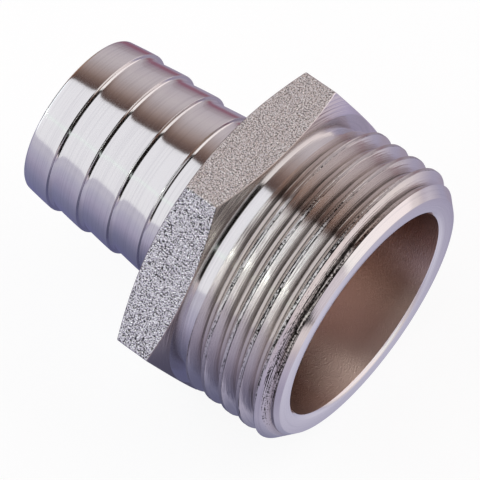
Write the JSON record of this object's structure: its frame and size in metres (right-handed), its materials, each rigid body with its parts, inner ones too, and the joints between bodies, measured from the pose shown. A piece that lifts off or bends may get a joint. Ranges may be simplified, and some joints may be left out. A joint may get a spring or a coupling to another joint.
{
  "type": "hose barb tail",
  "caption": "Hose tail with a male pipe thread, a hexagon and a barbed spigot, with a stepped bore right through.",
  "frame": {"origin": "on the bore's axis, in the plane of the hexagon's face on the thread side", "axes": "+X along the axis out of the thread end, +Z square to a flat of the hexagon, the part lying on the flat opposite"},
  "size_m": [0.0393, 0.0392, 0.034],
  "materials": {
    "stainless_steel": "turned, with cast flats on the hexagon"
  },
  "bodies": {
    "root": {"hose_tail": "stainless_steel"}
  },
  "joints": []
}
